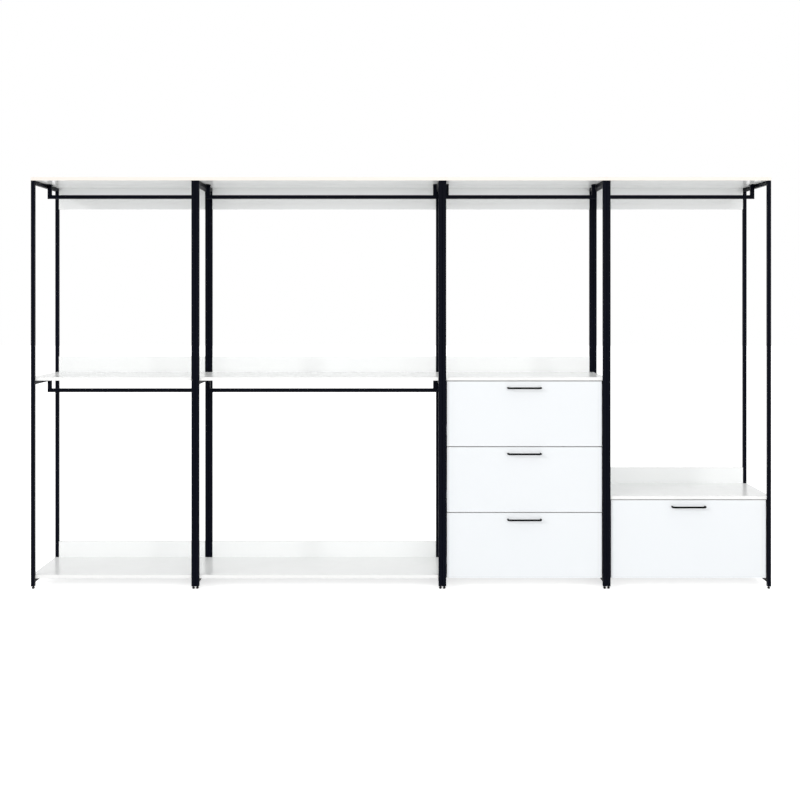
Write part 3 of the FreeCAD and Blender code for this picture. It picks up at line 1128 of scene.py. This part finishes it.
@dataclass
class HangingRod:
    """Square rod mitred into a wide U, with a fixing plate on either end."""

    node: str
    size: float = 20 * MM
    crease: float = 50.0
    plate_thickness: float = 3 * MM
    plate_corner: float = 6 * MM
    plate_steps: int = 6
    screw_share: float = 0.36

    @property
    def box(self) -> Block:
        """Box of the rod with its plates."""
        return Block.of(self.node)

    def path(self) -> Outline:
        """Draw the centre line of the rod.

        Returns:
            Its points down one leg, along the rod and up the other leg.
        """
        box, half = self.box, self.size / 2
        left, right = box.low.x + half, box.high.x - half
        top, level = box.high.z - self.plate_thickness, box.low.z + half
        plan = ((left, top), (left, level), (right, level), (right, top))
        return [Vector((x, box.middle.y, z)) for x, z in plan]

    def leg_welds(self) -> list[Spot]:
        """Where each leg meets its plate."""
        return [Spot(leg, Z_AXIS) for leg in self.path()[::3]]

    def mitre_welds(self) -> list[Spot]:
        """Where each leg meets the rod."""
        ways = (X_AXIS - Z_AXIS, X_AXIS + Z_AXIS)
        return [Spot(mitre, way.normalized()) for mitre, way in zip(self.path()[1:3], ways)]

    def screws(self) -> list[Spot]:
        """Place two screws in each plate, facing down.

        Returns:
            Place and facing of each screw.
        """
        reach = Y_AXIS * (self.box.size.y * self.screw_share)
        places = [weld.place + reach * end for weld in self.leg_welds() for end in (-1, 1)]
        return [Spot(place, -Z_AXIS) for place in places]

    def build(self) -> None:
        """Build the rod and its plates as one piece."""
        solid = Solid()
        solid.loft(mitred_sections(self.path(), tube_outline(ORIGIN, X_AXIS, Y_AXIS, self.size)))
        for weld in self.leg_welds():
            plate = rectangle(weld.place, X_AXIS, Y_AXIS, self.size, self.box.size.y)
            plate = rounded(plate, [self.plate_corner] * len(plate), self.plate_steps)
            solid.prism(plate, Z_AXIS * self.plate_thickness)
        solid.hang("bar", self.node, CLOSET, POWDER_COAT, self.crease)


@dataclass(frozen=True)
class Channel:
    """Lipped sheet channel of a runner. Web and tip are distances from the wall of the case."""

    web: float
    tip: float
    height: float
    lip: float
    sheet: float = 1.2 * MM
    bend_radius: float = 1.5 * MM
    inner_radius: float = 0.5 * MM
    lip_radius: float = 0.3 * MM
    corner_steps: int = 3

    def outline(self, wall: Vector, inward: int) -> Outline:
        """Draw the outline of the channel at a wall.

        Args:
            wall: Point on the wall at the channel's mid height.
            inward: 1 if the channel opens towards +X, -1 for the other side.

        Returns:
            Points of the rounded outline in X and Z.
        """
        half, sheet = self.height / 2, math.copysign(self.sheet, self.tip - self.web)
        inside = half - self.sheet
        upper = [
            (self.web, half, self.bend_radius),
            (self.tip, half, self.bend_radius),
            (self.tip, inside - self.lip, self.lip_radius),
            (self.tip - sheet, inside - self.lip, self.lip_radius),
            (self.tip - sheet, inside, self.inner_radius),
            (self.web + sheet, inside, self.inner_radius),
        ]
        corners = upper + [(x, -z, radius) for x, z, radius in reversed(upper)]
        points = [wall + Vector((inward * x, 0, z)) for x, z, _ in corners]
        return rounded(points, [radius for _, _, radius in corners], self.corner_steps)


@dataclass
class Runners(Unit):
    """Telescopic runners of one drawer: three nested channels on either side.

    A track of balls lies at its distance from the wall, above and below the runner's mid height.
    """

    name: str
    fixed: Channel = Channel(web=0.0, tip=9.5 * MM, height=45 * MM, lip=3.3 * MM)
    middle: Channel = Channel(web=2.4 * MM, tip=11.3 * MM, height=35.2 * MM, lip=3.3 * MM)
    inner: Channel = Channel(web=12.7 * MM, tip=4.8 * MM, height=25.4 * MM, lip=2 * MM)
    outer_track: tuple[float, float] = (5.3 * MM, 19.45 * MM)
    inner_track: tuple[float, float] = (7.3 * MM, 14.55 * MM)
    cage_length_share: float = 0.45
    ball_pitch: float = 7 * MM

    @property
    def length(self) -> float:
        """Length of every channel."""
        return self.box("inner_runners").size.y

    def walls(self) -> list[tuple[Vector, int]]:
        """Find the walls that the runners stand against.

        Returns:
            Point on the wall at the front of each runner, and 1 or -1 for the way inwards.
        """
        box = self.box("inner_runners")
        sides = ((box.low.x - self.inner.tip, 1), (box.high.x + self.inner.tip, -1))
        return [(Vector((x, box.low.y, box.middle.z)), inward) for x, inward in sides]

    def add(self, channel: Channel, solid: Solid) -> None:
        """Add one member of both runners to a solid."""
        for wall, inward in self.walls():
            solid.prism(channel.outline(wall, inward), Y_AXIS * self.length)

    def cages(self) -> list[Spot]:
        """Place the ball cages, the outer ones behind and the inner ones in front.

        Returns:
            Front end of each cage, four on either side.
        """
        behind = self.length * (1 - self.cage_length_share)
        tracks = ((*self.outer_track, behind), (*self.inner_track, self.ball_pitch))
        return [
            Spot(wall + Vector((inward * x, start, level)), Y_AXIS)
            for wall, inward in self.walls()
            for x, z, start in tracks
            for level in (z, -z)
        ]

    def build(self) -> None:
        """Build the inner and middle members and the ball cages that ride with the middle one."""
        middle_body = self.node("middle_members")
        members = (
            ("inner_runners", self.inner, self.name),
            ("middle_runners", self.middle, middle_body),
        )
        for part, channel, body in members:
            solid = Solid()
            self.add(channel, solid)
            solid.hang("channels", self.node(part), body, ZINC)
        balls = int(self.length * self.cage_length_share / self.ball_pitch)
        sizes = {"Balls": balls, "Pitch": self.ball_pitch}
        grow(self.node("ball_cages"), ball_tree(), self.cages(), BALL_STEEL, middle_body, **sizes)


@dataclass
class Drawer(Unit):
    """Drawer with its front, bow handle, box and runners."""

    name: str
    boards: Boards
    wall: float = 12 * MM
    bottom_thickness: float = 6 * MM
    bottom_rise: float = 12 * MM
    handle_diameter: float = 9.5 * MM
    handle_bend: float = 11 * MM
    handle_sides: int = 32
    handle_bend_steps: int = 9
    corner_screw_shares: tuple[float, ...] = (0.15, 0.85)
    front_screw_across_shares: tuple[float, ...] = (0.12, 0.5, 0.88)
    front_screw_up_shares: tuple[float, ...] = (0.3, 0.78)
    runner_screw_shares: tuple[float, ...] = (0.08, 0.36, 0.64, 0.92)

    def build_box(self) -> None:
        """Build the four walls and the bottom of the box."""
        low, high = self.box("box").low, self.box("box").high
        left, right = low.x + self.wall, high.x - self.wall
        front, back = low.y + self.wall, high.y - self.wall
        deep, tall = (low.y, high.y), (low.z, high.z)
        bottom = low.z + self.bottom_rise
        blocks = [
            Block.span((low.x, left), deep, tall),
            Block.span((right, high.x), deep, tall),
            Block.span((left, right), (low.y, front), tall),
            Block.span((left, right), (back, high.y), tall),
            Block.span((left, right), (front, back), (bottom, bottom + self.bottom_thickness)),
        ]
        self.boards.flat(self.node("box"), self.name, blocks, BOX_FACE, BOARD_EDGE)

    def build_handle(self) -> None:
        """Build the bow handle, which projects from the front."""
        box, radius = self.box("handle"), self.handle_diameter / 2
        left, right = box.low.x + radius, box.high.x - radius
        grip, foot = box.low.y + radius, box.high.y
        plan = ((left, foot), (left, grip), (right, grip), (right, foot))
        path = [Vector((x, y, box.middle.z)) for x, y in plan]
        counts = (self.handle_sides, self.handle_bend_steps)
        solid = Solid()
        solid.loft(bar_sections(path, self.handle_bend, radius, *counts))
        piece = solid.piece(self.node("handle_bow"), [HANDLE_COAT])
        settle(piece, self.name, Slot.STEEL, self.node("handle"))

    def front_screws(self) -> list[Spot]:
        """Place the screws through the inner front into the drawer front, seen inside the box.

        Returns:
            Place and facing of each screw.
        """
        box = self.box("box")
        across = [box.low.x + box.size.x * share for share in self.front_screw_across_shares]
        up = [box.low.z + box.size.z * share for share in self.front_screw_up_shares]
        return [Spot(Vector((x, box.low.y + self.wall, z)), Y_AXIS) for x in across for z in up]

    def side_screws(self) -> list[Spot]:
        """Place the screws through the sides and through the inner channels.

        Returns:
            Place and facing of each screw.
        """
        box, runner = self.box("box"), self.box("inner_runners")
        ends = (box.low.y + self.wall / 2, box.high.y - self.wall / 2)
        levels = [box.low.z + box.size.z * share for share in self.corner_screw_shares]
        corners = [(y, level) for y in ends for level in levels]
        along = [runner.low.y + runner.size.y * share for share in self.runner_screw_shares]
        holes = [(y, runner.middle.z) for y in along]
        return [
            Spot(Vector((x + outward.x * proud, y, z)), outward)
            for places, proud in ((corners, 0.0), (holes, Runners.inner.sheet))
            for x, outward in ((box.low.x, -X_AXIS), (box.high.x, X_AXIS))
            for y, z in places
        ]

    def build(self) -> None:
        """Build every piece of the drawer."""
        self.boards.flat(self.node("front"), self.name, [self.box("front")], FRONT_FACE, BOARD_EDGE)
        self.build_box()
        self.build_handle()
        Runners(self.name).build()
        Screw.FRONT.drive(self.node("front_screws"), self.front_screws(), self.name)
        Screw.BOX.drive(self.node("box_screws"), self.side_screws(), self.name)


@dataclass
class DrawerCase:
    """Case round the drawers of a bay: infill boards, back and fixed runners."""

    bay: Bay
    boards: Boards
    screw_pitch: float = 150 * MM
    screw_inset: float = 9 * MM
    side_thickness: float = 18 * MM

    def build_sides(self) -> None:
        """Build the infill boards in both side frames."""
        low, high = self.bay.box("case_sides").low, self.bay.box("case_sides").high
        across = ((low.x, low.x + self.side_thickness), (high.x - self.side_thickness, high.x))
        blocks = [Block.span(x, (low.y, high.y), (low.z, high.z)) for x in across]
        self.boards.flat(self.bay.node("case_sides"), CLOSET, blocks)

    def build_runners(self) -> None:
        """Build the fixed members of all runners of the bay."""
        solid = Solid()
        for drawer in self.bay.drawers:
            Runners(drawer).add(Runners.fixed, solid)
        solid.hang("channels", self.bay.node("fixed_runners"), CLOSET, ZINC)

    def steps(self, low: float, high: float) -> list[float]:
        """Even places between two insets, about a screw pitch apart.

        Args:
            low: Lower edge of the back.
            high: Upper edge of the back.

        Returns:
            The places, with those at both insets.
        """
        first, reach = low + self.screw_inset, high - low - 2 * self.screw_inset
        count = max(1, round(reach / self.screw_pitch))
        return [first + reach * index / count for index in range(count + 1)]

    def back_screws(self) -> list[Spot]:
        """Place the screws round the back, facing to the rear.

        Returns:
            Place and facing of each screw.
        """
        box = self.bay.box("case_back")
        across, up = self.steps(box.low.x, box.high.x), self.steps(box.low.z, box.high.z)
        places = [(x, z) for x in across for z in (up[0], up[-1])]
        places += [(x, z) for z in up[1:-1] for x in (across[0], across[-1])]
        return [Spot(Vector((x, box.high.y, z)), Y_AXIS) for x, z in places]

    def build(self) -> None:
        """Build every piece of the case."""
        self.build_sides()
        self.boards.flat(self.bay.node("case_back"), CLOSET, [self.bay.box("case_back")])
        self.build_runners()


@dataclass
class Fixings:
    """Small parts that repeat over the whole closet."""

    frames: list[SideFrame] = field(default_factory=list)
    rods: list[HangingRod] = field(default_factory=list)
    cases: list[DrawerCase] = field(default_factory=list)
    weld_bead: float = 1.1 * MM
    weld_swell: float = 1.1
    mitre_bead: float = 0.6 * MM

    def build_feet(self) -> None:
        """Grow a levelling foot under every post."""
        feet = [spot for side_frame in self.frames for spot in side_frame.feet()]
        nodes = [bay.node("feet") for bay in BAYS]
        grow("levelling_feet", foot_tree(), feet, FOOT_PLASTIC, CLOSET, *nodes)

    def build_welds(self) -> None:
        """Grow the beads that join rails to posts, legs to plates and legs to rods."""
        rail_ends = [spot for side_frame in self.frames for spot in side_frame.rail_ends()]
        leg_tops = [spot for rod in self.rods for spot in rod.leg_welds()]
        mitres = [spot for rod in self.rods for spot in rod.mitre_welds()]
        # Even where it swells, a bead of the frame stays within the width of its posts
        flush = self.frames[0].size - 2 * self.weld_bead * self.weld_swell
        diagonal = self.rods[0].size * math.sqrt(2)
        welds = (
            ("frame_welds", rail_ends, {"Width": flush, "Bead": self.weld_bead}),
            ("rod_plate_welds", leg_tops, {}),
            ("rod_mitre_welds", mitres, {"Width": diagonal, "Bead": self.mitre_bead}),
        )
        for name, spots, sizes in welds:
            grow(name, weld_tree(), spots, POWDER_COAT, CLOSET, **sizes)

    def build_screws(self) -> None:
        """Grow the screws of the rods, the rails and the case backs."""
        in_rods = [spot for rod in self.rods for spot in rod.screws()]
        in_rails = [spot for side_frame in self.frames for spot in side_frame.rail_screws()]
        in_backs = [spot for case in self.cases for spot in case.back_screws()]
        Screw.ROD.drive("rod_screws", in_rods)
        Screw.RAIL.drive("rail_screws", in_rails)
        Screw.BACK.drive("case_back_screws", in_backs)

    def build(self) -> None:
        """Grow all the small parts."""
        self.build_feet()
        self.build_welds()
        self.build_screws()


@dataclass(frozen=True)
class Lamp:
    """Distant soft lamp.

    Its width, its bearing to the right of straight ahead and its height over the horizon are
    in degrees.
    """

    name: str
    strength: float
    width: float
    bearing: float
    height: float
    distance: float = 5.0

    def build(self) -> None:
        """Place the lamp."""
        light = bpy.data.lights.new(self.name, "SUN")
        light.energy = self.strength
        light.angle = math.radians(self.width)
        lamp = link(self.name, light)
        bearing, height = math.radians(self.bearing), math.radians(self.height)
        level = math.cos(height)
        source = Vector((math.sin(bearing) * level, -math.cos(bearing) * level, math.sin(height)))
        lamp.rotation_euler = source.to_track_quat("Z", "Y").to_euler()
        lamp.location = source * self.distance


@dataclass(frozen=True)
class Studio:
    """White studio: floor, soft world light and two broad lamps."""

    floor_size: float = 60.0
    floor_tone: Triple = (0.93, 0.93, 0.93)
    floor_glow: float = 0.64
    sky: float = 0.81
    key: Lamp = Lamp("key", strength=0.62, width=6.0, bearing=-54.0, height=21.0)
    fill: Lamp = Lamp("fill", strength=0.68, width=40.0, bearing=8.0, height=9.0)

    def build_world(self) -> None:
        """Light the closet evenly all round, from a world that looks white itself."""
        world = bpy.data.worlds.new("studio")
        bpy.context.scene.world = world
        graph = Graph.of(world)
        strength = graph.out("ShaderNodeMapRange", graph.seen_directly(), 0.0, 1.0, self.sky, 1.0)
        graph.add("ShaderNodeOutputWorld", graph.out("ShaderNodeBackground", WHITE, strength))

    def build_floor(self) -> None:
        """Build a broad pale floor that keeps the shadow of the closet."""
        material = bpy.data.materials.new("studio_floor")
        graph = Graph.of(material)
        matt = graph.out("ShaderNodeBsdfDiffuse", (*self.floor_tone, 1.0))
        glow = graph.math("MULTIPLY", graph.seen_directly(), self.floor_glow)
        both = graph.out("ShaderNodeAddShader", matt, graph.out("ShaderNodeEmission", WHITE, glow))
        graph.add("ShaderNodeOutputMaterial", both)
        mesh = bpy.data.meshes.new("floor")
        corners = rectangle(ORIGIN, X_AXIS, Y_AXIS, self.floor_size, self.floor_size)
        mesh.from_pydata(corners, [], [range(len(corners))])
        mesh.materials.append(material)
        link("floor", mesh)

    def build(self) -> None:
        """Build the studio."""
        self.build_world()
        self.build_floor()
        self.key.build()
        self.fill.build()


@dataclass(frozen=True)
class PhotoView:
    """Level camera in front of the closet, framed as the photograph is."""

    distance: float = 6.0
    metres_per_pixel: float = 0.005193
    picture_pixels: float = 800.0
    horizon_row: float = 297.3
    centre_column: float = 401.0
    floor_row: float = 589.1
    sensor: float = 36.0

    def build(self) -> None:
        """Place the camera and make it the scene's own."""
        half = self.picture_pixels / 2
        data = bpy.data.cameras.new("photo_camera")
        data.sensor_width = self.sensor
        data.lens = self.sensor * self.distance / (self.picture_pixels * self.metres_per_pixel)
        data.shift_y = (self.horizon_row - half) / self.picture_pixels
        camera = link("photo_camera", data)
        aside = (half - self.centre_column) * self.metres_per_pixel
        eye = (self.floor_row - self.horizon_row) * self.metres_per_pixel
        camera.location = (aside, SideFrame(BAYS[0], Side.LEFT).box.low.y - self.distance, eye)
        camera.rotation_euler = (math.pi / 2, 0, 0)
        bpy.context.scene.camera = camera


def main() -> None:
    """Build the closet's looks, the studio and the camera."""
    logging.basicConfig(level=logging.INFO, format="%(message)s")
    bpy.context.scene.view_settings.view_transform = "Standard"
    boards, fixings = Boards(), Fixings()
    for bay in BAYS:
        for side in Side:
            fixings.frames.append(SideFrame(bay, side))
            fixings.frames[-1].build()
        boards.flat(bay.node("top_shelf"), CLOSET, [bay.box("top_shelf")], BOARD_FACE, TOP_EDGE)
        boards.shelf(bay, bay.shelf)
        boards.shelf(bay, "bottom_shelf")
        boards.back_boards(bay)
        for rod in bay.rods:
            fixings.rods.append(HangingRod(bay.node(rod)))
            fixings.rods[-1].build()
        if bay.drawers:
            fixings.cases.append(DrawerCase(bay, boards))
            fixings.cases[-1].build()
        for drawer in bay.drawers:
            Drawer(drawer, boards).build()
    fixings.build()
    Studio().build()
    PhotoView().build()


if __name__ == "__main__":
    main()
